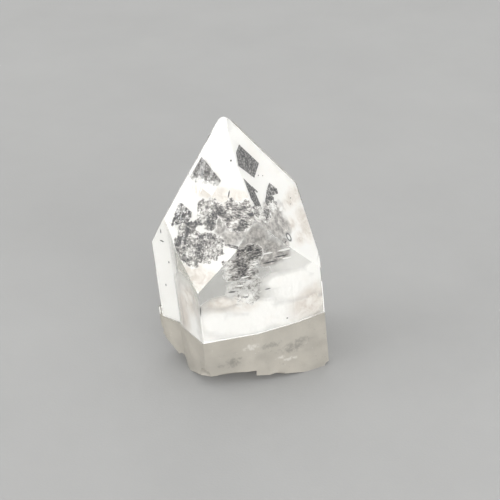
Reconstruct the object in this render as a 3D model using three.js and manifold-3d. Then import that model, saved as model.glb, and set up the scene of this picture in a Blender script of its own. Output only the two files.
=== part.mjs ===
// Apophyllite point: one clear crystal, standing on its broken foot.
//
// A square prism ends in a four-sided point. The point is turned by an eighth
// of a turn, so each of its faces comes down to a corner on a prism edge. A
// second crystal has grown fused to the back left, side by side with the first.
// Below it, low on the same side, sits a small ledge.
//
// Millimetres, +Z up, the side in view faces -Y. The origin is under the middle
// of the crystal, on the surface that it stands on.

import * as THREE from "three";
import { mergeVertices } from "three/addons/utils/BufferGeometryUtils.js";
import Module from "manifold-3d";

const wasm = await Module();
wasm.setup();

// Driving dimensions

const POINT_HEIGHT = 39.3; // from the foot to where the point's faces would meet
const SHOULDER_HEIGHT = 16.8; // where the prism's face distances are measured
const TURN = 24.7; // degrees from +X to the way that the front right face runs
const LEAN = 4.93; // degrees that the crystal leans to the left on its foot
const TIP_WEAR = 0.75; // radius that wear has given the tip
const TIP_SET_BACK = 0.5; // how far behind the long axis the worn tip is centred
const POINT_SLOPE = 60.4; // degrees from the long axis to a point face's normal
const BLANK = 48; // edge of the block that the faces are cut from
const REACH = 70; // edge of a cutting block, which passes the blank on every side

// Prism faces: degrees round the long axis, degrees from it to the face's
// normal, and the distance from the axis at the shoulder. A regular crystal
// would have 90 degrees throughout; this one's faces are a little off that.
// The two front faces are gently bowed, so each is more than one flat.
const RIGHT_FACE = { around: 273.5, slope: 90, distance: 9.85 };
const MIDDLE_FACE = { around: 267, slope: 90, distance: 9.35 };
const FRONT_FACE = { around: 256.3, slope: 91.7, distance: 9.6 };
const CORNER_FACE = { around: 189, slope: 90.4, distance: 10.4 };
const LEFT_FACE = { around: 180, slope: 90, distance: 10.1 };
const BACK_LEFT = { around: 90, slope: 90.9, distance: 5.0 };
const BACK_RIGHT = { around: 357.6, slope: 89.5, distance: 10.15 };
const RIGHT_CORNER = { around: 340, slope: 89.4, distance: 11.8 };
const FRONT_FACES = [RIGHT_FACE, MIDDLE_FACE, FRONT_FACE];
const BACK_FACES = [RIGHT_CORNER, BACK_RIGHT, BACK_LEFT];

// Point faces. Three meet on the long axis at the point's height; the back one
// is steeper and stands off a little, as if it met the axis higher up.
const POINT_FACES = [
  { around: 223.4, slope: POINT_SLOPE + 1.3 }, // front
  { around: 312.2, slope: POINT_SLOPE + 0.3 }, // right
  { around: 138.3, slope: POINT_SLOPE - 0.4 }, // left
  { around: 42.6, slope: POINT_SLOPE + 5.4, rise: 1.6 }, // back
];

// The side crystal's own faces, on the same axis as the main one's.
const SIDE_LEFT = { around: 206, slope: 89.2, distance: 9.2 };
const SIDE_BACK = { around: 121, slope: 91.4, distance: 8.35 };
const SIDE_INNER = { around: 0, slope: 90, distance: -6.2 };

// The ledge stands out past the side crystal's back corner.
const LEDGE_OUT = 0.85; // how far past the corner
const LEDGE_SET_BACK = 0.3; // how far behind the side crystal's left face
const LEDGE_TOP = 13.4; // height above the foot
const LEDGE_ROOF = { around: 151, slope: 38 }; // the way its roof faces

// Growth steps on the back left face: below each height the face is set back.
const STEPS = [
  { top: 6.4, depth: 0.22 },
  { top: 4.9, depth: 0.48 },
];

// The tip's wear goes over in rings of small flats, each this far from level.
const WEAR_SLOPES = [22, 42];
const WEAR_FLATS = 8;

const UP = new THREE.Vector3(0, 0, 1);
const DOWN = new THREE.Vector3(0, 0, -1);

// A face normal from its degrees round the long axis and degrees from it.
function faceNormal({ around, slope }) {
  const theta = THREE.MathUtils.degToRad(around);
  const phi = THREE.MathUtils.degToRad(slope);
  return new THREE.Vector3(
    Math.sin(phi) * Math.cos(theta),
    Math.sin(phi) * Math.sin(theta),
    Math.cos(phi),
  );
}

// Turns a three.js geometry into a solid.
function solidOf(geometry) {
  const bare = geometry.clone();
  bare.deleteAttribute("normal");
  bare.deleteAttribute("uv");
  const merged = mergeVertices(bare, 1e-5);
  return new wasm.Manifold(
    new wasm.Mesh({
      numProp: 3,
      vertProperties: merged.attributes.position.array,
      triVerts: new Uint32Array(merged.index.array),
    }),
  );
}

// Turns a solid back into a three.js geometry with flat faces.
function geometryOf(solid) {
  const mesh = solid.getMesh();
  const points = new Float32Array(mesh.numVert * 3);
  for (let i = 0; i < mesh.numVert; i++) {
    const start = i * mesh.numProp;
    points.set(mesh.vertProperties.subarray(start, start + 3), i * 3);
  }
  const indexed = new THREE.BufferGeometry()
    .setAttribute("position", new THREE.BufferAttribute(points, 3))
    .setIndex(new THREE.BufferAttribute(mesh.triVerts, 1));
  const geometry = indexed.toNonIndexed();
  geometry.computeVertexNormals();
  return geometry;
}

// The way the crystal stands: turned on its long axis, then leaning left.
const stand = new THREE.Matrix4()
  .makeRotationY(THREE.MathUtils.degToRad(-LEAN))
  .multiply(new THREE.Matrix4().makeRotationZ(THREE.MathUtils.degToRad(TURN)));

// A block that fills the space outside a plane. The plane's normal points into
// the block, and the block is placed in the crystal's own leaning axes or, for
// the breaks of the foot, in upright ones.
function blockOutside(normal, point, placing = stand) {
  const block = new THREE.BoxGeometry(REACH, REACH, REACH);
  block.translate(0, 0, REACH / 2);
  const turn = new THREE.Quaternion().setFromUnitVectors(UP, normal);
  block.applyQuaternion(turn);
  block.translate(point.x, point.y, point.z);
  block.applyMatrix4(placing);
  return solidOf(block);
}

// A block outside one prism face.
function outsideFace(face, extra = 0) {
  const normal = faceNormal(face);
  const level = new THREE.Vector3(0, 0, SHOULDER_HEIGHT);
  return blockOutside(
    normal,
    level.addScaledVector(normal, face.distance + extra),
  );
}

// A block outside one of the point's faces.
function outsidePointFace(face) {
  return blockOutside(
    faceNormal(face),
    new THREE.Vector3(0, 0, POINT_HEIGHT + (face.rise ?? 0)),
  );
}

function cutAll(solid, cutters) {
  return cutters.reduce((left, cutter) => left.subtract(cutter), solid);
}

// A block around the whole crystal, for the faces to be cut from.
function blank() {
  const block = new THREE.BoxGeometry(BLANK, BLANK, BLANK);
  block.translate(0, 0, SHOULDER_HEIGHT);
  block.applyMatrix4(stand);
  return solidOf(block);
}

// The main crystal.
function mainCrystal() {
  const sides = [...FRONT_FACES, CORNER_FACE, LEFT_FACE, ...BACK_FACES];
  return cutAll(blank(), [
    ...sides.map((face) => outsideFace(face)),
    ...POINT_FACES.map(outsidePointFace),
  ]);
}

// The side crystal shares the point's faces and the back left face.
function sideCrystal() {
  const sides = [SIDE_LEFT, SIDE_BACK, SIDE_INNER, BACK_LEFT, ...FRONT_FACES];
  return cutAll(blank(), [
    ...sides.map((face) => outsideFace(face)),
    ...POINT_FACES.map(outsidePointFace),
  ]);
}

// The ledge on the side crystal's back corner.
function ledge() {
  const corner = new THREE.Vector3(0, 0, LEDGE_TOP);
  corner.addScaledVector(faceNormal(SIDE_BACK), SIDE_BACK.distance);
  return cutAll(blank(), [
    outsideFace(SIDE_LEFT, -LEDGE_SET_BACK),
    outsideFace(SIDE_BACK, LEDGE_OUT),
    outsideFace(SIDE_INNER),
    outsideFace(BACK_LEFT, -LEDGE_SET_BACK),
    ...FRONT_FACES.map((face) => outsideFace(face)),
    blockOutside(faceNormal(LEDGE_ROOF), corner),
  ]);
}

// The tip's wear: planes that touch a small ball set into the point.
function tipWear() {
  const depth = TIP_WEAR / Math.cos(THREE.MathUtils.degToRad(POINT_SLOPE));
  const [, , , back] = POINT_FACES;
  const centre = faceNormal({ around: back.around, slope: 90 })
    .multiplyScalar(TIP_SET_BACK)
    .setZ(POINT_HEIGHT - depth);
  const planes = [{ around: 0, slope: 0 }];
  for (const slope of WEAR_SLOPES)
    for (let i = 0; i < WEAR_FLATS; i++)
      planes.push({ around: slope + (i * 360) / WEAR_FLATS, slope });
  return planes.map((plane) => {
    const normal = faceNormal(plane);
    const touch = centre.clone().addScaledVector(normal, TIP_WEAR);
    return blockOutside(normal, touch);
  });
}

// A growth step: the slab just inside the back left face, below a height.
function stepCutter({ top, depth }) {
  const above = blockOutside(UP, new THREE.Vector3(0, 0, top));
  return outsideFace(BACK_LEFT, -depth).subtract(above);
}

// The foot

const UPRIGHT = new THREE.Matrix4();

// Large breaks: a point on each break, and its normal's degrees round +Z and
// degrees from it, over 90 because a break faces down.
const LEFT_BREAK = {
  point: new THREE.Vector3(-9.6, -3.7, 1.3),
  around: 190,
  slope: 132,
};
const RIGHT_BREAK = {
  point: new THREE.Vector3(2.3, -9.1, 1.2),
  around: 268,
  slope: 158,
};
const FRONT_BREAK = {
  point: new THREE.Vector3(-3, -9.9, 1.95),
  around: 283,
  slope: 152,
  right: 1.6, // where along X it ends
};

// Shell-shaped chips round the rim and under the foot: centre and half sizes.
const CHIPS = [
  { centre: [4.4, -8.2, 0.7], half: [1.6, 1.0, 0.4] },
  { centre: [13.0, -4.4, 0], half: [1.3, 1.4, 0.75] },
  { centre: [-6.6, -10.9, 1.9], half: [1.6, 1.9, 1.4] },
  { centre: [-9.3, -4.6, 0.6], half: [0.9, 1.6, 1.5] },
  { centre: [-1.7, -10.2, 1.9], half: [2.4, 1.3, 0.3] },
  { centre: [-12.6, 0.4, 4.4], half: [1.2, 2.6, 1.3] },
  { centre: [7.2, 9.3, 0.3], half: [3.2, 2.6, 2.2] },
  { centre: [-3.2, 6.6, 0.2], half: [3.6, 2.4, 1.3] },
  { centre: [12.4, 2.3, 0.2], half: [1.9, 3.4, 1.0] },
  { centre: [5.6, -1.2, -0.35], half: [3.6, 2.9, 0.8] },
  { centre: [-1.8, 1.9, -0.3], half: [2.4, 2.1, 0.75] },
];

function chip({ centre, half }) {
  const ball = new THREE.IcosahedronGeometry(1, 4);
  ball.scale(...half);
  ball.translate(...centre);
  return solidOf(ball);
}

function footBreaks() {
  const ground = blockOutside(DOWN, new THREE.Vector3(0, 0, 0), UPRIGHT);
  const breakOf = (place) => blockOutside(faceNormal(place), place.point, UPRIGHT);
  const pastFront = blockOutside(
    new THREE.Vector3(1, 0, 0),
    new THREE.Vector3(FRONT_BREAK.right, 0, 0),
    UPRIGHT,
  );
  const front = breakOf(FRONT_BREAK).subtract(pastFront);
  const others = [LEFT_BREAK, RIGHT_BREAK].map(breakOf);
  return [ground, front, ...others, ...CHIPS.map(chip)];
}

// The whole crystal, set down with the middle of its outline over the origin.
function crystalGeometry() {
  const grown = mainCrystal().add(sideCrystal()).add(ledge());
  const cutters = [...tipWear(), ...STEPS.map(stepCutter), ...footBreaks()];
  const geometry = geometryOf(cutAll(grown, cutters));
  geometry.computeBoundingBox();
  const { min, max } = geometry.boundingBox;
  geometry.translate(-(min.x + max.x) / 2, -(min.y + max.y) / 2, -min.z);
  return geometry;
}

const clear = new THREE.MeshStandardMaterial({
  color: 0xe6e4dc,
  roughness: 0.12,
  metalness: 0,
  transparent: true,
  opacity: 0.55,
});

const crystal = new THREE.Mesh(crystalGeometry(), clear);
crystal.name = "crystal";

const apophyllitePoint = new THREE.Group();
apophyllitePoint.name = "apophyllite_point";
apophyllitePoint.add(crystal);

export default apophyllitePoint;
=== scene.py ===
"""Looks of a clear apophyllite point: glassy crystal, cleaved foot, inner veils and the stage."""

import math

import bmesh
import bpy
from bpy.props import FloatProperty, FloatVectorProperty, PointerProperty
from mathutils import Matrix, Vector, noise


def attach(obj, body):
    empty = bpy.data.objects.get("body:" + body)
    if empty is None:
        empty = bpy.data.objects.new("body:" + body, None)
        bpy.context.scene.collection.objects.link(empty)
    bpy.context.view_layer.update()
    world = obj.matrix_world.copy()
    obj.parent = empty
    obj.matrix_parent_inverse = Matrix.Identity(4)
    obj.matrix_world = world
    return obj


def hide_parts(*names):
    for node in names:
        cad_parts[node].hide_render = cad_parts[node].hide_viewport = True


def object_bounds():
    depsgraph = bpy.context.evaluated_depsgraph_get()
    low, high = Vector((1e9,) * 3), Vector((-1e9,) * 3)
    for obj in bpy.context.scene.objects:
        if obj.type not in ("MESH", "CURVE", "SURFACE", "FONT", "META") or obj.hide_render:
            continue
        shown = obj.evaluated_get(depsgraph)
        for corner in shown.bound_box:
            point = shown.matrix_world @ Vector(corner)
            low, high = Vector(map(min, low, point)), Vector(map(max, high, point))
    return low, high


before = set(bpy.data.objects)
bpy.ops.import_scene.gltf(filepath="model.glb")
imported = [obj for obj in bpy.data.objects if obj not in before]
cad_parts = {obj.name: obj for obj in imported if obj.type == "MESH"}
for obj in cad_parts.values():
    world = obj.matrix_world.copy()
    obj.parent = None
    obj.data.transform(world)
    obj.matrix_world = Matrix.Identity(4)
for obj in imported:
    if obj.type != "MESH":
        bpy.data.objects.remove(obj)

bl_info = {
    "name": "Apophyllite Point",
    "version": (1, 0, 0),
    "blender": (4, 5, 0),
    "location": "View3D > Sidebar > Crystal",
    "description": "Dresses a clear apophyllite point with glass, a cleaved foot and inner veils",
    "category": "Object",
}

MM = 0.001
CAD_NODE = "crystal"
CAD_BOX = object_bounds()

# The crystal's own axis, a point on its flat cleavage flaw and a point deep in its clear part.
LONG_AXIS = Vector((-0.0859, 0.0, 0.9963)).normalized()
FLAW_POINT = Vector((-0.159, 0.966, 8.30)) * MM
HEART = Vector((0.0, 0.5, 20.0)) * MM

# Points closer than this are one point, in the copy of the CAD node and in a finished piece.
CAD_MERGE = 0.001 * MM
PIECE_MERGE = 0.002 * MM

# Triangles that turn less than FLAT are one face. An edge that turns more than SHARP and is
# longer than LONG_EDGE gets a worn strip.
FLAT = math.radians(0.6)
SHARP = math.radians(22)
LONG_EDGE = 1.2 * MM

# A face larger than this, in square metres, and further than this from the heart is a wall
# of the clear crystal.
WALL_AREA = 6e-6
WALL_DISTANCE = 1.0 * MM

# Where the lid of the flaw and the worn places come in a half's list of finishes.
FLAW_FINISH = 1
WORN_FINISH = 2

# A face that rises less than this, in degrees, is upright. The ranges are azimuths.
UPRIGHT = 10.0
SIDE_GROWTH = ((220.0, 240.0), (135.0, 155.0))
MAIN_FLANK = ((195.0, 220.0),)

# The faces with a milky skin, in the order of its finishes: left, right, front and flank.
# Each has the lowest and highest azimuth and the lowest and highest rise, in degrees.
SKIN_FACES = (
    (200.0, 290.0, 15.0, 90.0),
    (290.0, 350.0, 15.0, 90.0),
    (250.0, 325.0, -15.0, 15.0),
    (195.0, 250.0, -15.0, 15.0),
)

# The block that the skin is cut from, and how far skin and sheets stay off the flaw and the tip.
SKIN_BLOCK = 120.0 * MM
SKIN_OFF_FLAW = 0.04 * MM
SKIN_OFF_TIP = 0.35 * MM
SHEET_OFF_FLAW = 0.1 * MM

# How close together the folds lie, in folds to the metre.
SHEET_FOLDS = 2600.0
SKIN_FOLDS = (1300.0, 400.0)

FLOOR_HALF = 2.0
LIGHT_AIM = Vector((0.0, 0.0, 0.018))
SENSOR_WIDTH = 36.0
NEAREST_SEEN = 10.0 * MM


class CrystalSettings(bpy.types.PropertyGroup):
    """Sizes and optics of the crystal itself."""

    flaw_gap: FloatProperty(
        name="Flaw gap",
        description="Thickness of the air film in the cleavage flaw",
        default=0.03 * MM,
        min=0.0,
        unit="LENGTH",
    )
    edge_wear: FloatProperty(
        name="Edge wear",
        description="Width of the worn strip along the long edges",
        default=0.11 * MM,
        min=0.0,
        unit="LENGTH",
    )
    tip_wear: FloatProperty(
        name="Tip wear",
        description="How far the bruised white of the tip reaches down",
        default=1.2 * MM,
        min=0.0,
        unit="LENGTH",
    )
    refraction: FloatProperty(
        name="Refraction",
        description="Index of refraction of apophyllite",
        default=1.535,
        min=1.0,
        max=2.0,
    )
    clarity: FloatProperty(
        name="Clarity",
        description="Share of light that passes a face; the rest is a faint white bloom",
        default=1.0,
        min=0.0,
        max=1.0,
        subtype="FACTOR",
    )
    body_tint: FloatVectorProperty(
        name="Body tint",
        description="Tint of light that passes a face",
        subtype="COLOR",
        default=(0.99, 0.988, 0.98),
        min=0.0,
        max=1.0,
    )
    depth_tint: FloatVectorProperty(
        name="Depth tint",
        description="Colour that thick crystal turns light to",
        subtype="COLOR",
        default=(0.93, 0.925, 0.88),
        min=0.0,
        max=1.0,
    )
    depth_density: FloatProperty(
        name="Depth density",
        description="How fast the depth tint builds up",
        default=40.0,
        min=0.0,
    )
    # The foot's grey-beige is partly painted shade: it stands in for the dimmer light below the
    # flaw.
    foot_pale: FloatVectorProperty(
        name="Foot, pale",
        description="Lighter tone of the matt foot",
        subtype="COLOR",
        default=(0.505, 0.475, 0.415),
        min=0.0,
        max=1.0,
    )
    foot_grey: FloatVectorProperty(
        name="Foot, grey",
        description="Darker tone of the matt foot",
        subtype="COLOR",
        default=(0.435, 0.41, 0.36),
        min=0.0,
        max=1.0,
    )


class VeilSettings(bpy.types.PropertyGroup):
    """Grain and colours of the healed cracks inside the crystal, partly painted light and shade.
    """

    cell: FloatProperty(
        name="Cell",
        description="Spacing of the points of a loose sheet",
        default=0.26 * MM,
        min=0.1 * MM,
        unit="LENGTH",
    )
    depth: FloatProperty(
        name="Depth",
        description="How far the milky skin lies under the faces",
        default=0.16 * MM,
        min=0.05 * MM,
        unit="LENGTH",
    )
    weave: FloatProperty(
        name="Weave",
        description="Spacing of the points of the milky skin",
        default=0.5 * MM,
        min=0.2 * MM,
        unit="LENGTH",
    )
    crumple: FloatProperty(
        name="Crumple",
        description="Height of the folds of the milky skin and the loose sheets",
        default=0.02 * MM,
        min=0.0,
        unit="LENGTH",
    )
    ragged: FloatProperty(
        name="Ragged",
        description="How torn the rims of the patches are",
        default=1.0,
        min=0.0,
    )
    streak_lean: FloatProperty(
        name="Streak lean",
        description="Slope of the streaks in the streaked patches",
        subtype="ANGLE",
        default=0.3,
    )
    skin: FloatProperty(
        name="Skin",
        description="Thickness of the milky skin and the loose sheets",
        default=0.02 * MM,
        min=0.005 * MM,
        unit="LENGTH",
    )
    clearance: FloatProperty(
        name="Clearance",
        description="How far a loose sheet lies under its face",
        default=0.07 * MM,
        min=0.0,
        unit="LENGTH",
    )
    # The milk's white is partly painted light: it stands in for the bright light thrown back by
    # the upper faces and the flaw.
    milk_and_light_white: FloatVectorProperty(
        name="Milk, white",
        description="Main tone of the milky veils",
        subtype="COLOR",
        default=(0.995, 0.990, 0.965),
        min=0.0,
        max=1.0,
    )
    milk_cream: FloatVectorProperty(
        name="Milk, cream",
        description="Warm patches of the milky veils",
        subtype="COLOR",
        default=(0.97, 0.945, 0.90),
        min=0.0,
        max=1.0,
    )
    # Also the colour of the shade marks, which are painted shade.
    blush_and_shade: FloatVectorProperty(
        name="Blush",
        description="Pinkish grey stain of the milky veils",
        subtype="COLOR",
        default=(0.74, 0.69, 0.63),
        min=0.0,
        max=1.0,
    )
    # These flecks colour the veils and also paint shade: the grey marks and the dark window
    # sheets.
    fleck_and_shade_dark: FloatVectorProperty(
        name="Fleck, dark",
        description="Darkest flecks of the sparkling veils",
        subtype="COLOR",
        default=(0.05, 0.05, 0.055),
        min=0.0,
        max=1.0,
    )
    fleck_and_shade_grey: FloatVectorProperty(
        name="Fleck, grey",
        description="Middle flecks of the sparkling veils",
        subtype="COLOR",
        default=(0.265, 0.252, 0.235),
        min=0.0,
        max=1.0,
    )
    fleck_and_shade_pale: FloatVectorProperty(
        name="Fleck, pale",
        description="Pale grey flecks between the grey and the milk",
        subtype="COLOR",
        default=(0.61, 0.585, 0.555),
        min=0.0,
        max=1.0,
    )
    # Painted glints: the brightest flecks of the dark window sheets.
    fleck_glint_white: FloatVectorProperty(
        name="Fleck, white",
        description="Brightest flecks of the dark windows",
        subtype="COLOR",
        default=(0.95, 0.95, 0.94),
        min=0.0,
        max=1.0,
    )


class StageSettings(bpy.types.PropertyGroup):
    """Floor, light and camera."""

    floor_tone: FloatVectorProperty(
        name="Floor tone",
        description="Colour of the plain floor",
        subtype="COLOR",
        default=(0.31, 0.31, 0.305),
        min=0.0,
        max=1.0,
    )
    sky: FloatProperty(
        name="Sky",
        description="Strength of the even white light from all round",
        default=1.2,
        min=0.0,
    )
    key_power: FloatProperty(
        name="Key light",
        description="Power of the large light on the left",
        default=3.55,
        min=0.0,
        unit="POWER",
    )
    front_power: FloatProperty(
        name="Front light",
        description="Power of the large light behind the camera",
        default=4.75,
        min=0.0,
        unit="POWER",
    )
    back_power: FloatProperty(
        name="Back light",
        description="Power of the large light behind",
        default=0.4,
        min=0.0,
        unit="POWER",
    )
    camera_place: FloatVectorProperty(
        name="Camera",
        description="Where the camera stands",
        subtype="TRANSLATION",
        unit="LENGTH",
        default=(1.19 * MM, -181.5 * MM, 127.4 * MM),
    )
    camera_drop: FloatProperty(
        name="Camera drop",
        description="How far the camera looks below the horizon",
        subtype="ANGLE",
        default=math.radians(31.13),
    )
    lens: FloatProperty(
        name="Lens",
        description="Focal length in millimetres on a 36 mm sensor",
        default=105.12,
        min=10.0,
    )


# The faces that carry veils: a point on the face in millimetres, and its azimuth and rise.
LEFT = ((-4.40, -4.91, 27.04), (245.8, 26.4))
RIGHT = ((4.64, -1.52, 27.48), (335.7, 33.8))
FRONT = ((1.70, -7.80, 19.00), (288.0, 0.5))
FLANK = ((-8.00, -6.00, 12.00), (210.0, -4.5))
SIDE = ((-10.87, -2.51, 12.20), (230.8, -2.3))

# How each kind of mark fades in: the noise that tears its rim, where it starts and where it is
# full, from 0 on the rim of an oval to 1 in its middle, and how strong it is when full.
RIMS = {
    "dark": ("torn", -0.2, 0.15, 1.0),
    "streak": ("torn", -0.2, 0.2, 0.95),
    "speck": ("torn", -0.1, 0.3, 0.62),
    "grey": ("soft", -0.1, 0.35, 0.95),
    "blush": ("soft", -0.2, 0.6, 1.0),
    "shade": ("soft", -0.3, 0.6, 0.85),
    "white": ("even", -0.45, 0.5, 1.0),
    "mist": ("even", -0.4, 0.5, 0.65),
    "thin": ("soft", -0.4, 0.5, 0.12),
    "spot": ("clean", 0.0, 0.3, 1.0),
    "glint": ("clean", 0.0, 0.3, 1.0),
}

# The marks of each face by kind: ovals on the face, as how far across and up from the face's
# point, half the width and half the height, in millimetres.
# Grey and shade ovals are painted shade and glint ovals painted highlights; white and mist ovals
# are milk that is partly painted light.
LEFT_MARKS = {
    "dark": (
        (-3.1, -3.2, 1.5, 1.2), (-0.2, -0.4, 1.9, 2.1), (-3.1, -5.6, 1.3, 1.7),
        (-0.5, -5.3, 2.9, 2.2), (-1.2, -7.5, 1.2, 0.9), (1.6, -4.9, 1.4, 1.7),
        (1.6, 0.2, 0.8, 0.8), (4.2, -4.1, 1.2, 0.22), (3.6, -6.7, 0.6, 0.35),
        (2.0, -6.2, 0.5, 0.6),
    ),
    "streak": (
        (4.4, 0.7, 2.5, 1.9), (5.4, 2.1, 1.2, 1.0), (2.4, 0.1, 1.2, 1.2), (6.0, -0.2, 1.4, 1.3),
        (4.1, -1.2, 1.9, 0.7),
    ),
    "grey": (
        (4.6, -1.8, 2.6, 1.6), (3.4, -3.1, 2.0, 1.2), (2.0, -1.7, 1.1, 1.7),
        (6.3, -0.9, 0.9, 1.2),
    ),
    "blush": (
        (-1.0, 2.7, 2.3, 1.2), (2.0, 2.4, 2.1, 1.3), (4.2, 2.9, 1.6, 1.0),
        (-0.8, -9.2, 1.9, 1.7), (1.5, -9.0, 1.7, 1.3), (0.4, -10.6, 1.0, 1.0),
    ),
    "shade": (
        (3.2, 2.6, 2.6, 1.0), (-0.5, 2.5, 2.2, 0.8), (-1.0, -8.8, 1.9, 1.3),
        (1.0, -9.4, 1.6, 1.0),
    ),
    "spot": ((1.7, 7.5, 0.16, 0.16), (2.3, 2.9, 0.12, 0.6), (-1.5, -10.4, 0.12, 0.5)),
}
RIGHT_MARKS = {
    "dark": ((-5.1, 0.4, 1.1, 1.1), (-4.0, -1.0, 1.2, 0.9), (-1.4, 0.3, 1.3, 0.6)),
    "speck": ((-1.2, -0.8, 1.4, 0.9),),
    "grey": (
        (-2.4, -1.6, 3.4, 2.3), (-5.6, -2.2, 2.1, 2.2), (-2.2, -3.6, 2.5, 2.2),
        (-4.5, -4.2, 2.0, 2.2), (-3.6, -5.8, 1.2, 1.1),
    ),
    "blush": (
        (3.2, -5.2, 2.4, 1.6), (2.6, -7.4, 1.6, 1.6), (0.2, -7.1, 1.7, 1.1),
        (3.8, -2.1, 3.5, 1.3), (3.4, -6.4, 1.5, 1.0), (0.2, -4.6, 1.4, 1.2),
    ),
    "spot": (
        (-2.0, -5.7, 0.6, 0.8), (-3.3, -5.8, 0.4, 0.12), (3.4, -2.0, 0.12, 0.1),
        (2.6, -2.6, 0.1, 0.08), (-0.6, 3.9, 0.14, 0.1), (0.3, 3.4, 0.1, 0.1),
    ),
    "glint": ((-2.0, -5.7, 0.35, 0.5), (-0.1, -2.0, 0.6, 0.3), (0.1, -0.4, 0.7, 0.3)),
}
FRONT_MARKS = {
    "speck": ((-1.1, -1.9, 2.6, 1.1), (-0.6, -4.0, 2.3, 1.5), (-2.9, -2.8, 1.4, 1.2)),
    "streak": (
        (-1.9, 1.3, 2.1, 2.1), (-0.4, 2.8, 1.8, 1.6), (-3.0, 0.0, 1.4, 1.0),
        (-1.0, 0.0, 1.5, 1.3), (-2.9, 1.4, 1.1, 1.2), (-1.6, 3.0, 1.1, 1.2),
    ),
    "grey": (
        (0.4, 5.0, 2.2, 2.8), (2.0, 3.2, 3.0, 2.3), (2.4, 1.2, 2.1, 0.9), (4.0, 1.8, 1.8, 0.8),
        (-1.0, 3.7, 1.8, 1.8),
    ),
    "shade": ((9.5, -7.4, 3.8, 2.8), (-4.8, -4.8, 2.8, 1.2)),
    "blush": ((9.3, -7.6, 3.4, 3.0), (-1.3, -4.2, 3.1, 2.0), (-4.6, -4.6, 2.6, 1.3)),
    # White and mist on the front: milk, partly painted light where the flaw throws the light
    # back.
    "white": (
        (7.1, -4.2, 6.2, 3.0), (3.7, -2.5, 2.7, 1.6), (10.6, -3.6, 2.4, 4.0),
        (-1.3, -8.7, 7.9, 2.8), (5.8, -8.1, 7.7, 2.9), (-5.8, -7.6, 2.6, 2.8),
        (1.2, -6.9, 3.5, 2.0), (0.0, -5.8, 5.0, 1.5), (6.2, -2.6, 4.6, 2.0),
        (9.6, -1.6, 2.6, 1.6),
    ),
    "mist": ((7.6, 0.2, 4.8, 2.8),),
    "thin": ((-4.0, -2.6, 6.5, 4.5),),
    "spot": (
        (4.1, 1.6, 1.2, 0.12), (2.4, 1.0, 1.2, 0.12), (0.6, 2.4, 0.9, 0.1),
        (-3.2, -2.8, 0.6, 0.16), (-7.7, -5.6, 0.13, 1.0), (5.1, -8.9, 0.16, 0.12),
        (-1.2, -3.9, 0.4, 0.12), (2.1, -3.3, 0.5, 0.12),
    ),
    "glint": (
        (4.6, 2.5, 1.2, 0.2), (5.0, 1.1, 0.9, 0.18), (2.1, 2.5, 0.9, 0.16),
        (0.2, 1.2, 0.6, 0.16), (-1.3, -0.6, 0.8, 0.14), (-2.1, -1.9, 0.7, 0.16),
    ),
}
FLANK_MARKS = {
    "white": ((1.2, -1.4, 3.1, 5.2), (0.6, 1.2, 3.1, 4.0), (1.6, -4.2, 3.8, 2.8)),
    "thin": ((0.1, 7.8, 3.0, 7.0),),
    "shade": ((-0.6, -1.5, 1.6, 5.0),),
    "blush": ((1.5, 2.0, 2.4, 3.0),),
}
SIDE_MARKS = {
    "spot": (
        (-0.4, 8.6, 0.45, 0.12), (0.7, 5.4, 0.12, 0.2), (-0.2, 1.1, 0.1, 0.25),
        (-0.5, 10.2, 0.1, 0.4),
    ),
}

# Dark bruises and pale chips of the foot, as ovals on the front face's plane.
FOOT_MARKS = {
    "bruise": (
        (-4.8, -15.4, 0.5, 0.35), (-3.2, -15.0, 0.9, 0.7), (-2.1, -14.4, 0.4, 0.25),
        (5.9, -14.1, 1.8, 0.8), (2.4, -12.9, 1.8, 0.5), (7.1, -13.2, 1.4, 0.5),
    ),
    "chip": (
        (4.1, -15.4, 0.7, 0.4), (5.2, -16.0, 0.9, 0.3), (6.3, -15.9, 0.5, 0.3),
        (3.3, -17.6, 0.7, 0.25), (-0.3, -12.7, 1.4, 0.5), (8.6, -10.4, 0.4, 0.15),
    ),
}

# Each loose sheet: name, face, corners across and up the face in millimetres, and finish.
SHEETS = (
    # The side sheet is white milk, partly painted light.
    ("milk_side", SIDE, [(-2.6, 15.0), (2.9, 15.0), (2.6, -7.0), (-2.6, -7.0)], "milk_side"),
    # The window sheets are painted shade: dark sheets that stand in for the dark view through the
    # crystal.
    ("window_left", LEFT, [(-2.7, 7.2), (0.8, 4.5), (-0.1, 2.1), (-4.0, 4.0)], "window_fading"),
    (
        "window_right",
        RIGHT,
        [(-0.8, 9.1), (1.0, 5.1), (-1.8, 4.1), (-3.6, 7.0), (-2.4, 8.6)],
        "window",
    ),
    (
        "window_wedge",
        RIGHT,
        [(-4.1, 5.2), (-3.3, 3.2), (-3.9, 0.5), (-5.0, 1.1), (-5.1, 2.3)],
        "window",
    ),
    ("window_spur", RIGHT, [(-3.3, 3.5), (-2.8, 2.3), (-3.1, 2.3), (-3.7, 3.4)], "window"),
    (
        "window_small",
        RIGHT,
        [(0.5, 2.3), (1.6, 0.5), (1.2, -0.1), (-2.3, 1.0), (-0.8, 1.5)],
        "window_speckled",
    ),
    (
        "window_side",
        LEFT,
        [(-4.9, 0.5), (-2.7, -0.7), (-2.6, -1.4), (-2.9, -2.0), (-5.5, -3.4)],
        "window_speckled",
    ),
)


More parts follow.
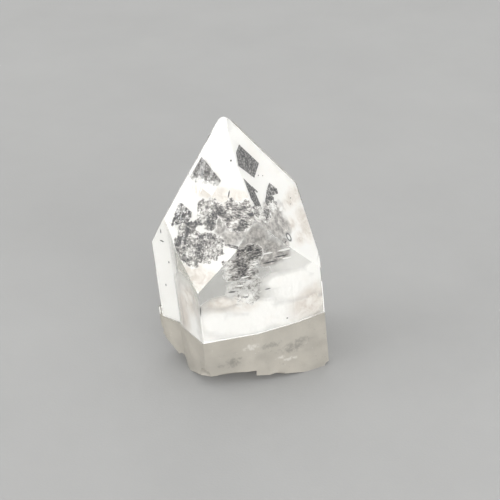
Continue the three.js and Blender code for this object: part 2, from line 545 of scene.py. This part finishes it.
class Finish:
    """A node material built up step by step on Object coordinates."""

    def __init__(self, name):
        self.material = bpy.data.materials.new(name)
        self.material.use_nodes = True
        self.tree = self.material.node_tree
        self.shader = self.tree.nodes["Principled BSDF"]
        self.place = self.tree.nodes.new("ShaderNodeTexCoord").outputs["Object"]

    def link(self, output, target):
        self.tree.links.new(output, target)

    def feed(self, name, output):
        """Links a value or colour that varies to a socket of the shader."""
        self.link(output, self.shader.inputs[name])

    def fixed(self, **values):
        """Sets values that are the same all over on the shader's own sockets."""
        for name, value in values.items():
            socket = self.shader.inputs[name.replace("_", " ")]
            socket.default_value = tuple(value) + (1.0,) if name == "Base_Color" else value

    def stretched(self, scale, turn=(0.0, 0.0, 0.0)):
        """Object coordinates, stretched and turned."""
        mapping = self.tree.nodes.new("ShaderNodeMapping")
        mapping.inputs["Scale"].default_value = scale
        mapping.inputs["Rotation"].default_value = turn
        self.link(self.place, mapping.inputs["Vector"])
        return mapping.outputs["Vector"]

    def on_face(self, plane):
        """Coordinates of a face: across, up its slope and outwards from its point."""
        matrix = plane_of(plane)
        node = self.tree.nodes.new("ShaderNodeMapping")
        node.vector_type = "TEXTURE"
        node.inputs["Location"].default_value = matrix.translation
        node.inputs["Rotation"].default_value = matrix.to_euler()
        self.link(self.place, node.inputs["Vector"])
        return node.outputs["Vector"]

    def height(self):
        """How high each point lies, in metres."""
        node = self.tree.nodes.new("ShaderNodeSeparateXYZ")
        self.link(self.place, node.inputs["Vector"])
        return node.outputs["Z"]

    def grain(self, scale, detail, rough=0.5, twist=0.0, place=None):
        """Noise with about so many grains to the metre."""
        tex = self.tree.nodes.new("ShaderNodeTexNoise")
        tex.inputs["Scale"].default_value = scale
        tex.inputs["Detail"].default_value = detail
        tex.inputs["Roughness"].default_value = rough
        tex.inputs["Distortion"].default_value = twist
        self.link(place or self.place, tex.inputs["Vector"])
        return tex.outputs["Fac"]

    def threads(self, scale, twist, width, lift, place=None):
        """Thin winding lines along the middle of a noise: lift on a line, 0 beside it."""
        level = self.span(self.grain(scale, 2.0, 0.5, twist, place), 0.0, 1.0, -0.5, 0.5)
        return self.span(self.combine(level, 0.0, "ABSOLUTE"), 0.0, width, lift, 0.0)

    def cells(self, scale):
        """How far each point is from the middle of its cell."""
        tex = self.tree.nodes.new("ShaderNodeTexVoronoi")
        tex.inputs["Scale"].default_value = scale
        self.link(self.place, tex.inputs["Vector"])
        return tex.outputs["Distance"]

    def patch(self, face, ovals, tear):
        """1 in the middle of each oval and 0 on its rim, torn by a noise where one is given."""
        distances = []
        for x, y, wide, tall in ovals:
            scaled = self.tree.nodes.new("ShaderNodeVectorMath")
            scaled.operation = "MULTIPLY_ADD"
            scaled.inputs[1].default_value = (1 / (wide * MM), 1 / (tall * MM), 0.0)
            scaled.inputs[2].default_value = (-x / wide, -y / tall, 0.0)
            self.link(face, scaled.inputs[0])
            far = self.tree.nodes.new("ShaderNodeVectorMath")
            far.operation = "LENGTH"
            self.link(scaled.outputs["Vector"], far.inputs[0])
            distances.append(far.outputs["Value"])
        nearest = self.combine_all(distances, "MINIMUM")
        inside = self.span(nearest, 0.0, 1.0, 1.0, 0.0, clamp=False)
        return self.combine(inside, tear) if tear else inside

    def combine(self, first, second, how="ADD"):
        """Two values made one by a sum or another operation; the second may be a number."""
        node = self.tree.nodes.new("ShaderNodeMath")
        node.operation = how
        self.link(first, node.inputs[0])
        if isinstance(second, float):
            node.inputs[1].default_value = second
        else:
            self.link(second, node.inputs[1])
        return node.outputs["Value"]

    def combine_all(self, values, how):
        """A list of values made one, such as their largest."""
        total = values[0]
        for value in values[1:]:
            total = self.combine(total, value, how)
        return total

    def span(self, value, low, high, to_low, to_high, clamp=True):
        """A value's range from low to high, moved to another range."""
        node = self.tree.nodes.new("ShaderNodeMapRange")
        node.clamp = clamp
        node.inputs["From Min"].default_value = low
        node.inputs["From Max"].default_value = high
        node.inputs["To Min"].default_value = to_low
        node.inputs["To Max"].default_value = to_high
        self.link(value, node.inputs["Value"])
        return node.outputs["Result"]

    def ramp(self, value, *stops):
        """A colour by a value, from stops of a position and a colour."""
        node = self.tree.nodes.new("ShaderNodeValToRGB")
        band = node.color_ramp
        while len(band.elements) < len(stops):
            band.elements.new(0.5)
        for element, (position, colour) in zip(band.elements, stops):
            element.position = position
            element.color = tuple(colour) + (1.0,)
        self.link(value, node.inputs["Fac"])
        return node.outputs["Color"]

    def blend(self, factor, first, second):
        """Two values mixed. The Mix node's number sockets are its inputs 2 and 3."""
        node = self.tree.nodes.new("ShaderNodeMix")
        for output, socket in ((factor, 0), (first, 2), (second, 3)):
            self.link(output, node.inputs[socket])
        return node.outputs[0]

    def mix(self, factor, first, second):
        """Two colours mixed. The Mix node's colour sockets are its inputs 6 and 7."""
        node = self.tree.nodes.new("ShaderNodeMix")
        node.data_type = "RGBA"
        self.link(factor, node.inputs["Factor"])
        for colour, socket in ((first, node.inputs[6]), (second, node.inputs[7])):
            if isinstance(colour, bpy.types.NodeSocket):
                self.link(colour, socket)
            else:
                socket.default_value = tuple(colour) + (1.0,)
        return node.outputs[2]

    def relief(self, height, depth):
        """Bumps of a depth in metres, from a height between 0 and 1."""
        node = self.tree.nodes.new("ShaderNodeBump")
        node.inputs["Strength"].default_value = 1.0
        node.inputs["Distance"].default_value = depth
        self.link(height, node.inputs["Height"])
        self.feed("Normal", node.outputs["Normal"])

    def tint_depth(self, s):
        """Colours light by how much crystal it passes through."""
        node = self.tree.nodes.new("ShaderNodeVolumeAbsorption")
        node.inputs["Color"].default_value = tuple(s.depth_tint) + (1.0,)
        node.inputs["Density"].default_value = s.depth_density
        out = self.tree.nodes["Material Output"]
        self.link(node.outputs["Volume"], out.inputs["Volume"])


def clear_face(s):
    """Glassy growth faces: nearly polished, with faint lines along the long axis."""
    f = Finish("clear_face")
    f.fixed(Base_Color=s.body_tint, IOR=s.refraction, Transmission_Weight=s.clarity)
    f.feed("Roughness", f.span(f.grain(700.0, 4.0), 0.5, 0.8, 0.0, 0.05))
    lines = f.grain(900.0, 2.0, place=f.stretched((1.0, 1.0, 0.06)))
    swell = f.combine(f.grain(260.0, 2.0), 1.4, "MULTIPLY")
    f.relief(f.combine(lines, swell), depth=0.012 * MM)
    f.tint_depth(s)
    return f.material


def worn_edge(s):
    """The bruised strip along an edge: fine matt scratches."""
    scratch = (0.93, 0.92, 0.89)
    bruise = (0.99, 0.985, 0.965)
    f = Finish("worn_edge")
    f.fixed(IOR=s.refraction, Transmission_Weight=0.35)
    f.feed("Base Color", f.ramp(f.grain(1900.0, 4.0), (0.3, scratch), (0.6, bruise)))
    f.feed("Roughness", f.span(f.grain(2600.0, 4.0), 0.35, 0.65, 0.15, 0.5))
    f.relief(f.grain(3500.0, 3.0), depth=0.03 * MM)
    f.tint_depth(s)
    return f.material


def flaw_film(s):
    """The cleavage flaw: an almost flat mirror of trapped air."""
    f = Finish("flaw_film")
    f.fixed(Base_Color=s.body_tint, IOR=s.refraction, Transmission_Weight=1.0)
    f.feed("Roughness", f.span(f.grain(500.0, 3.0), 0.4, 0.75, 0.02, 0.16))
    f.relief(f.grain(330.0, 4.0, 0.6), depth=0.03 * MM)
    f.tint_depth(s)
    return f.material


def matt_foot(s):
    """The bruised, matt foot below the flaw, with dark and pale flecks; its grey tone is partly
    painted shade.
    """
    dark_fleck = (0.16, 0.155, 0.14)
    pale_fleck = (0.97, 0.96, 0.93)
    bruise = (0.17, 0.165, 0.15)
    chip = (0.95, 0.93, 0.88)
    f = Finish("matt_foot")
    f.fixed(IOR=s.refraction)

    # Grey and pale tones of the matt foot, darkened in part as painted shade below the flaw.
    colour = f.ramp(f.grain(210.0, 5.0, 0.6, 0.4), (0.32, s.foot_grey), (0.62, s.foot_pale))
    colour = f.mix(f.span(f.grain(1500.0, 3.0, 0.6), 0.66, 0.74, 0.0, 0.55), colour, dark_fleck)
    colour = f.mix(f.span(f.cells(900.0), 0.08, 0.0, 0.0, 0.7), colour, pale_fleck)
    face = f.on_face(FRONT)
    tear = f.span(f.grain(1700.0, 5.0, 0.75, 0.5), 0.0, 1.0, -2.6, 2.6)
    bruised = f.span(f.patch(face, FOOT_MARKS["bruise"], tear), -0.1, 0.8, 0.0, 0.5)
    chipped = f.span(f.patch(face, FOOT_MARKS["chip"], tear), 0.1, 0.9, 0.0, 0.4)
    colour = f.mix(bruised, colour, bruise)
    f.feed("Base Color", f.mix(chipped, colour, chip))

    f.feed("Roughness", f.span(f.grain(900.0, 4.0), 0.3, 0.7, 0.42, 0.62))
    f.feed("Transmission Weight", f.span(f.grain(300.0, 3.0), 0.35, 0.65, 0.52, 0.42))
    f.relief(f.grain(1300.0, 6.0, 0.65), depth=0.05 * MM)
    return f.material


def milk(f, v, cover):
    """White milk, partly painted light, with warm patches, pinkish stains, painted shade and a
    painted grey for the darker view through the crystal.
    """
    warm = f.span(f.grain(260.0, 4.0, 0.6), 0.50, 0.72, 0.0, 0.7)
    colour = f.mix(warm, v.milk_and_light_white, v.milk_cream)
    # Painted shade: the shade marks darken the milk to a pinkish grey.
    if "shade" in cover:
        colour = f.mix(cover["shade"], colour, v.blush_and_shade)
    if "blush" in cover:
        grain = f.grain(800.0, 4.0, 0.65, 0.8)
        stain = f.ramp(grain, (0.36, v.blush_and_shade), (0.64, v.milk_cream))
        colour = f.mix(cover["blush"], colour, stain)
    # Painted shade: the grey marks stand in for the darker view through the crystal.
    if "grey" in cover:
        grain = f.grain(1300.0, 5.0, 0.7)
        grey_view_shade = f.ramp(grain, (0.38, v.fleck_and_shade_grey), (0.58, v.fleck_and_shade_pale), (0.72, v.milk_cream))
        colour = f.mix(cover["grey"], colour, grey_view_shade)
    return colour


def speckled(f, v, cover, colour, fine):
    """Dark and bright flecks with curling threads, over a colour, where the veils lie."""
    curls = f.threads(1300.0, 1.6, width=0.03, lift=0.2)
    turned = f.stretched((1.0, 1.0, 1.0), (0.6, 0.3, 0.9))
    cracks = f.threads(1700.0, 2.0, width=0.022, lift=-0.2, place=turned)
    fleck = f.combine(f.combine(fine, curls), cracks)
    if "streak" in cover:
        along = f.stretched((2200.0, 2200.0, 6500.0), (0.0, v.streak_lean, 0.0))
        fleck = f.blend(cover["streak"], fleck, f.grain(1.0, 4.0, 0.65, 0.4, along))
    veils = [cover[kind] for kind in ("dark", "speck", "streak") if kind in cover]
    amount = f.combine_all(veils, "MAXIMUM")
    drift = f.span(f.grain(620.0, 2.0), 0.38, 0.62, -0.09, 0.1)
    darker = f.span(amount, 0.0, 1.0, 0.22, -0.14)
    flecks = f.ramp(
        f.combine(f.combine(fleck, drift), darker),
        (0.27, v.fleck_and_shade_dark),
        (0.36, v.fleck_and_shade_grey),
        (0.46, v.fleck_and_shade_pale),
        (0.54, v.milk_and_light_white),
    )
    return f.mix(f.span(amount, 0.2, 0.6, 0.0, 1.0), colour, flecks)


def veil_skin_with_painted_light(v, name, plane, marks):
    """A healed crack close under a face: milk, partly painted light, with the face's marks in it,
    some of them painted shade and painted highlights.

    Where the marks hold white or mist, the skin is clear outside all its ovals.
    """
    f = Finish(name)
    face = f.on_face(plane)
    cloud = f.grain(330.0, 4.0, 0.6, 0.3)
    tears = {
        "torn": f.span(f.grain(700.0, 5.0, 0.65, 0.5), 0.0, 1.0, -v.ragged, v.ragged),
        "soft": f.span(cloud, 0.0, 1.0, -0.5 * v.ragged, 0.5 * v.ragged),
        "even": f.span(cloud, 0.0, 1.0, -0.2 * v.ragged, 0.2 * v.ragged),
        "clean": None,
    }
    cover = {}
    for kind, ovals in marks.items():
        tear, starts, full, most = RIMS[kind]
        cover[kind] = f.span(f.patch(face, ovals, tears[tear]), starts, full, 0.0, most)

    fine = f.grain(2600.0, 5.0, 0.7, 0.6)
    colour = milk(f, v, cover)
    if "dark" in cover or "speck" in cover or "streak" in cover:
        colour = speckled(f, v, cover, colour, fine)
    if "spot" in cover:
        colour = f.mix(cover["spot"], colour, v.fleck_and_shade_dark)
    # Painted highlights: the glint ovals.
    if "glint" in cover:
        colour = f.mix(cover["glint"], colour, v.milk_and_light_white)
    f.feed("Base Color", colour)
    f.feed("Roughness", f.span(fine, 0.3, 0.7, 0.3, 0.6))
    f.relief(f.grain(2600.0, 4.0, 0.6), depth=0.03 * MM)
    if "white" in cover or "mist" in cover:
        f.feed("Alpha", f.combine_all(list(cover.values()), "MAXIMUM"))
    return f.material


def painted_window(v, name, dark_to, white_from, grain, metal, fade=None):
    """Painted shade: a dark window sheet that stands in for the dark view through the crystal,
    with flecks from near black to bright white, each a tiny mirror; the brightest are painted
    glints.

    fade holds the heights between which the window turns to milk, going down.
    """
    f = Finish(name)
    f.fixed(Metallic=metal)
    colour = f.ramp(
        f.grain(grain, 4.0, 0.7, 0.5),
        (dark_to, v.fleck_and_shade_dark),
        (0.5, v.fleck_and_shade_grey),
        (white_from, v.fleck_glint_white),
    )
    if fade:
        low, high = fade
        level = f.span(f.height(), low, high, -0.2, 1.2, clamp=False)
        level = f.combine(level, f.span(f.grain(1900.0, 4.0, 0.7), 0.3, 0.7, -0.8, 0.8))
        colour = f.mix(f.span(level, 0.0, 1.0, 0.0, 1.0), v.milk_and_light_white, colour)
    f.feed("Base Color", colour)
    f.feed("Roughness", f.span(f.grain(1700.0, 3.0), 0.35, 0.65, 0.4, 0.7))
    f.relief(f.grain(3600.0, 4.0, 0.6), depth=0.06 * MM)
    return f.material


def floor_card(st):
    """Plain pale card with the faintest grain."""
    f = Finish("floor_card")
    f.fixed(Specular_IOR_Level=0.2)
    tone = Vector(st.floor_tone)
    f.feed("Base Color", f.ramp(f.grain(35.0, 5.0, 0.6), (0.3, tone * 0.97), (0.7, tone * 1.03)))
    f.feed("Roughness", f.span(f.grain(90.0, 4.0), 0.3, 0.7, 0.82, 0.92))
    f.relief(f.grain(2500.0, 3.0), depth=0.02 * MM)
    return f.material


def skin_finishes(v):
    """The finishes of the milky skin, partly painted light and shade, in the order of SKIN_FACES.
    """
    return [
        veil_skin_with_painted_light(v, "skin_left", LEFT, LEFT_MARKS),
        veil_skin_with_painted_light(v, "skin_right", RIGHT, RIGHT_MARKS),
        veil_skin_with_painted_light(v, "skin_front", FRONT, FRONT_MARKS),
        veil_skin_with_painted_light(v, "skin_flank", FLANK, FLANK_MARKS),
    ]


def sheet_finishes(v):
    """The finishes of the loose sheets, by name."""
    fade = (30.0 * MM, 31.3 * MM)
    return {
        "milk_side": veil_skin_with_painted_light(v, "milk_side", SIDE, SIDE_MARKS),
        "window": painted_window(v, "window", 0.50, 1.0, grain=4200.0, metal=0.05),
        "window_fading": painted_window(
            v, "window_fading", 0.40, 0.86, grain=3200.0, metal=0.1, fade=fade
        ),
        "window_speckled": painted_window(v, "window_speckled", 0.43, 0.64, grain=2800.0, metal=0.2),
    }


def finish_piece(mesh, name, materials, replaces=None):
    """A finished bmesh becomes a named piece of the object."""
    if not mesh.faces:
        raise RuntimeError(name + " came out empty")
    bmesh.ops.remove_doubles(mesh, verts=mesh.verts, dist=PIECE_MERGE)
    bmesh.ops.triangulate(mesh, faces=mesh.faces)
    data = bpy.data.meshes.new(name)
    mesh.to_mesh(data)
    mesh.free()
    piece = bpy.data.objects.new(name, data)
    bpy.context.scene.collection.objects.link(piece)
    for material in materials:
        data.materials.append(material)
    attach(piece, "root")
    if replaces:
        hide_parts(replaces)


def merged_crystal():
    """A copy of the CAD crystal with its loose triangles joined."""
    mesh = bmesh.new()
    mesh.from_mesh(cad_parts[CAD_NODE].data)
    bmesh.ops.remove_doubles(mesh, verts=mesh.verts, dist=CAD_MERGE)
    return mesh


def half_crystal(s, above):
    """The half of the crystal above or below the flaw, closed, with worn edges."""
    mesh = merged_crystal()
    # Each half stops half a gap short of the flaw's middle.
    side = 0.5 if above else -0.5
    bmesh.ops.bisect_plane(
        mesh,
        geom=mesh.verts[:] + mesh.edges[:] + mesh.faces[:],
        plane_co=FLAW_POINT + LONG_AXIS * side * s.flaw_gap,
        plane_no=LONG_AXIS,
        clear_inner=above,
        clear_outer=not above,
    )
    rim = [edge for edge in mesh.edges if edge.is_boundary]
    lid = bmesh.ops.holes_fill(mesh, edges=rim, sides=0)["faces"]
    for face in lid:
        face.material_index = FLAW_FINISH
    bmesh.ops.triangulate(mesh, faces=lid)
    bmesh.ops.dissolve_limit(
        mesh,
        angle_limit=FLAT,
        verts=mesh.verts,
        edges=mesh.edges,
        delimit={"MATERIAL"},
    )
    bmesh.ops.recalc_face_normals(mesh, faces=mesh.faces)
    sharp = [
        edge
        for edge in mesh.edges
        if edge.calc_face_angle(0.0) > SHARP
        and edge.calc_length() > LONG_EDGE
        and not any(face.material_index for face in edge.link_faces)
    ]
    worn = bmesh.ops.bevel(
        mesh,
        geom=sharp,
        offset=s.edge_wear,
        segments=2,
        profile=0.5,
        affect="EDGES",
        clamp_overlap=True,
        material=-1,
    )
    for face in worn["faces"]:
        face.material_index = WORN_FINISH
    for face in mesh.faces:
        if face.calc_center_median().z > CAD_BOX[1][2] - s.tip_wear:
            face.material_index = WORN_FINISH
    return mesh


def crystal_walls():
    """A point on and the outward direction of each large face round the heart of the crystal."""
    mesh = merged_crystal()
    bmesh.ops.dissolve_limit(mesh, angle_limit=FLAT, verts=mesh.verts, edges=mesh.edges)
    walls = []
    for face in mesh.faces:
        if face.calc_area() > WALL_AREA:
            middle = face.calc_center_median()
            if (HEART - middle).dot(face.normal) < -WALL_DISTANCE:
                walls.append((middle.copy(), face.normal.copy()))
    mesh.free()
    return walls


def facing_of(outward):
    """Azimuth and rise of a direction, in degrees."""
    turn = math.degrees(math.atan2(outward.y, outward.x)) % 360.0
    return turn, math.degrees(math.asin(max(-1.0, min(1.0, outward.z))))


def is_upright(outward, ranges):
    """True for an upright face whose azimuth lies in one of the ranges."""
    turn, rise = facing_of(outward)
    return abs(rise) < UPRIGHT and any(low < turn < high for low, high in ranges)


def skin_finish_of(outward):
    """Number of the skin finish for a face, or None where the skin has no such face."""
    turn, rise = facing_of(outward)
    for number, (turn_low, turn_high, rise_low, rise_high) in enumerate(SKIN_FACES):
        if turn_low < turn < turn_high and rise_low < rise < rise_high:
            return number
    return None


def plane_of(plane, depth=0.0):
    """Matrix of a face's plane, a depth under it, with x level and y up the slope."""
    centre, facing = plane
    turn, rise = (math.radians(angle) for angle in facing)
    out = Vector(
        (math.cos(turn) * math.cos(rise), math.sin(turn) * math.cos(rise), math.sin(rise))
    )
    level = Vector((-math.sin(turn), math.cos(turn), 0.0))
    up = out.cross(level)
    matrix = Matrix((level, up, out)).transposed().to_4x4()
    matrix.translation = Vector(centre) * MM - out * depth
    return matrix


def trim(mesh, point, outward):
    """Cuts away what lies on the outward side of a plane."""
    bmesh.ops.bisect_plane(
        mesh,
        geom=mesh.verts[:] + mesh.edges[:] + mesh.faces[:],
        plane_co=point,
        plane_no=outward,
        clear_outer=True,
    )


def sheet_mesh(v, walls, plane, outline, seed):
    """A thin crumpled sheet close under a face, cut to its outline; the seed moves its folds."""
    xs = [corner[0] for corner in outline]
    ys = [corner[1] for corner in outline]
    half = max(max(xs) - min(xs), max(ys) - min(ys)) / 2 * MM + v.cell
    steps = int(2 * half / v.cell)
    middle = Vector(((max(xs) + min(xs)) / 2, (max(ys) + min(ys)) / 2, 0.0)) * MM
    mesh = bmesh.new()
    bmesh.ops.create_grid(
        mesh, x_segments=steps, y_segments=steps, size=half, matrix=Matrix.Translation(middle)
    )
    corners = [Vector((x, y, 0.0)) * MM for x, y in outline]
    area = sum(a.x * b.y - a.y * b.x for a, b in zip(corners, corners[1:] + corners[:1]))
    if area < 0:
        corners.reverse()
    for a, b in zip(corners, corners[1:] + corners[:1]):
        run = b - a
        trim(mesh, a, Vector((run.y, -run.x, 0.0)))
    for vert in mesh.verts:
        fold = noise.noise(vert.co * SHEET_FOLDS + Vector((seed, seed, 0.0)))
        vert.co.z += v.crumple * fold
    bmesh.ops.transform(mesh, matrix=plane_of(plane, v.clearance), verts=mesh.verts)
    # The side growth stands out beyond the main flank, so its own sheet isn't cut there.
    for point, outward in walls:
        if plane is not SIDE or not is_upright(outward, MAIN_FLANK):
            trim(mesh, point - outward * 0.5 * v.clearance, outward)
    trim(mesh, FLAW_POINT + LONG_AXIS * SHEET_OFF_FLAW, -LONG_AXIS)
    bmesh.ops.recalc_face_normals(mesh, faces=mesh.faces)
    bmesh.ops.solidify(mesh, geom=mesh.faces[:], thickness=v.skin)
    return mesh


def skin_mesh(v, walls):
    """The crystal's flat faces drawn inwards a little, as one thin crumpled skin."""
    mesh = bmesh.new()
    bmesh.ops.create_cube(mesh, size=SKIN_BLOCK, matrix=Matrix.Translation(HEART))
    cuts = [
        (point - outward * v.depth, outward)
        for point, outward in walls
        if not is_upright(outward, SIDE_GROWTH)
    ]
    top = Vector((0.0, 0.0, CAD_BOX[1][2] - SKIN_OFF_TIP))
    cuts.append((FLAW_POINT + LONG_AXIS * SKIN_OFF_FLAW, -LONG_AXIS))
    cuts.append((top, Vector((0.0, 0.0, 1.0))))
    for point, outward in cuts:
        trim(mesh, point, outward)
        rim = [edge for edge in mesh.edges if edge.is_boundary]
        bmesh.ops.holes_fill(mesh, edges=rim, sides=0)
    bmesh.ops.recalc_face_normals(mesh, faces=mesh.faces)
    hidden = []
    for face in mesh.faces:
        number = skin_finish_of(face.normal)
        if number is None:
            hidden.append(face)
        else:
            face.material_index = number
    bmesh.ops.delete(mesh, geom=hidden, context="FACES")

    low, high = CAD_BOX
    for axis in range(3):
        step = Vector((0.0, 0.0, 0.0))
        step[axis] = 1.0
        for i in range(1, int((high[axis] - low[axis]) / v.weave)):
            bmesh.ops.bisect_plane(
                mesh,
                geom=mesh.verts[:] + mesh.edges[:] + mesh.faces[:],
                plane_co=low + step * i * v.weave,
                plane_no=step,
            )
    mesh.normal_update()
    for vert in mesh.verts:
        lift = sum(noise.noise(vert.co * folds) for folds in SKIN_FOLDS)
        vert.co += vert.normal * v.crumple * lift
    bmesh.ops.solidify(mesh, geom=mesh.faces[:], thickness=v.skin)
    return mesh


def soft_light(name, place, size, power):
    """A large rectangular light turned to the crystal."""
    data = bpy.data.lights.new(name, "AREA")
    data.shape = "RECTANGLE"
    data.size, data.size_y = size
    data.energy = power
    light = bpy.data.objects.new(name, data)
    bpy.context.scene.collection.objects.link(light)
    light.location = place
    light.rotation_euler = (LIGHT_AIM - Vector(place)).to_track_quat("-Z", "Y").to_euler()


class CRYSTAL_OT_point(bpy.types.Operator):
    """Make the clear upper crystal above the cleavage flaw"""

    bl_idname = "apophyllite.point"
    bl_label = "Clear point"

    def execute(self, context):
        s = context.scene.crystal_settings
        finishes = [clear_face(s), flaw_film(s), worn_edge(s)]
        finish_piece(half_crystal(s, above=True), "clear_point", finishes, CAD_NODE)
        return {"FINISHED"}


class CRYSTAL_OT_foot(bpy.types.Operator):
    """Make the matt foot below the cleavage flaw"""

    bl_idname = "apophyllite.foot"
    bl_label = "Matt foot"

    def execute(self, context):
        s = context.scene.crystal_settings
        finishes = [matt_foot(s)] * 3
        finish_piece(half_crystal(s, above=False), "matt_foot", finishes, CAD_NODE)
        return {"FINISHED"}


class CRYSTAL_OT_skin(bpy.types.Operator):
    """Make the milky skin of healed cracks close under the faces, partly painted light and shade
    """

    bl_idname = "apophyllite.skin"
    bl_label = "Milky skin"

    def execute(self, context):
        v = context.scene.veil_settings
        finish_piece(skin_mesh(v, crystal_walls()), "milky_and_painted_light_skin", skin_finishes(v))
        return {"FINISHED"}


class CRYSTAL_OT_sheets(bpy.types.Operator):
    """Make the dark windows near the tip, which are painted shade, and the white sheet of the
    side growth, partly painted light
    """

    bl_idname = "apophyllite.sheets"
    bl_label = "Windows and side sheet"

    def execute(self, context):
        v = context.scene.veil_settings
        walls = crystal_walls()
        finishes = sheet_finishes(v)
        for number, (name, plane, outline, finish) in enumerate(SHEETS):
            mesh = sheet_mesh(v, walls, plane, outline, seed=3.1 * number)
            finish_piece(mesh, name, [finishes[finish]])
        return {"FINISHED"}


class CRYSTAL_OT_stage(bpy.types.Operator):
    """Make the pale floor, the soft light and the camera"""

    bl_idname = "apophyllite.stage"
    bl_label = "Stage"

    def execute(self, context):
        st = context.scene.stage_settings
        scene = context.scene
        ground = bmesh.new()
        bmesh.ops.create_grid(ground, x_segments=4, y_segments=4, size=FLOOR_HALF)
        data = bpy.data.meshes.new("floor")
        ground.to_mesh(data)
        ground.free()
        data.materials.append(floor_card(st))
        floor = bpy.data.objects.new("floor", data)
        scene.collection.objects.link(floor)

        world = bpy.data.worlds.new("soft_sky")
        world.use_nodes = True
        sky = world.node_tree.nodes["Background"]
        sky.inputs["Color"].default_value = (1.0, 1.0, 1.0, 1.0)
        sky.inputs["Strength"].default_value = st.sky
        scene.world = world
        soft_light("key_light", (-0.66, -0.165, 0.18), size=(0.66, 0.33), power=st.key_power)
        soft_light("front_light", (0.30, -0.59, 0.165), size=(0.82, 0.30), power=st.front_power)
        soft_light("back_light", (0.10, 0.50, 0.33), size=(0.60, 0.30), power=st.back_power)

        lens = bpy.data.cameras.new("camera")
        lens.lens = st.lens
        lens.sensor_width = SENSOR_WIDTH
        lens.clip_start = NEAREST_SEEN
        camera = bpy.data.objects.new("camera", lens)
        scene.collection.objects.link(camera)
        camera.location = st.camera_place
        camera.rotation_euler = (math.radians(90.0) - st.camera_drop, 0.0, 0.0)
        scene.camera = camera

        scene.cycles.max_bounces = 32
        scene.cycles.transmission_bounces = 32
        scene.cycles.glossy_bounces = 16
        scene.cycles.transparent_max_bounces = 24
        scene.view_settings.view_transform = "Standard"
        return {"FINISHED"}


STEPS = (
    CRYSTAL_OT_point,
    CRYSTAL_OT_foot,
    CRYSTAL_OT_skin,
    CRYSTAL_OT_sheets,
    CRYSTAL_OT_stage,
)


class CRYSTAL_PT_panel(bpy.types.Panel):
    """Lists the steps and the settings that a user would change"""

    bl_idname = "CRYSTAL_PT_panel"
    bl_label = "Apophyllite Point"
    bl_space_type = "VIEW_3D"
    bl_region_type = "UI"
    bl_category = "Crystal"

    def draw(self, context):
        layout = self.layout
        for step in STEPS:
            layout.operator(step.bl_idname)
        for group in (
            context.scene.crystal_settings,
            context.scene.veil_settings,
            context.scene.stage_settings,
        ):
            box = layout.box()
            for name in group.__annotations__:
                box.prop(group, name)


CLASSES = (CrystalSettings, VeilSettings, StageSettings) + STEPS + (CRYSTAL_PT_panel,)


def register():
    for cls in CLASSES:
        bpy.utils.register_class(cls)
    bpy.types.Scene.crystal_settings = PointerProperty(type=CrystalSettings)
    bpy.types.Scene.veil_settings = PointerProperty(type=VeilSettings)
    bpy.types.Scene.stage_settings = PointerProperty(type=StageSettings)


def unregister():
    del bpy.types.Scene.stage_settings
    del bpy.types.Scene.veil_settings
    del bpy.types.Scene.crystal_settings
    for cls in reversed(CLASSES):
        bpy.utils.unregister_class(cls)


def main():
    register()
    bpy.ops.apophyllite.point()
    bpy.ops.apophyllite.foot()
    bpy.ops.apophyllite.skin()
    bpy.ops.apophyllite.sheets()
    bpy.ops.apophyllite.stage()


if __name__ == "__main__":
    main()
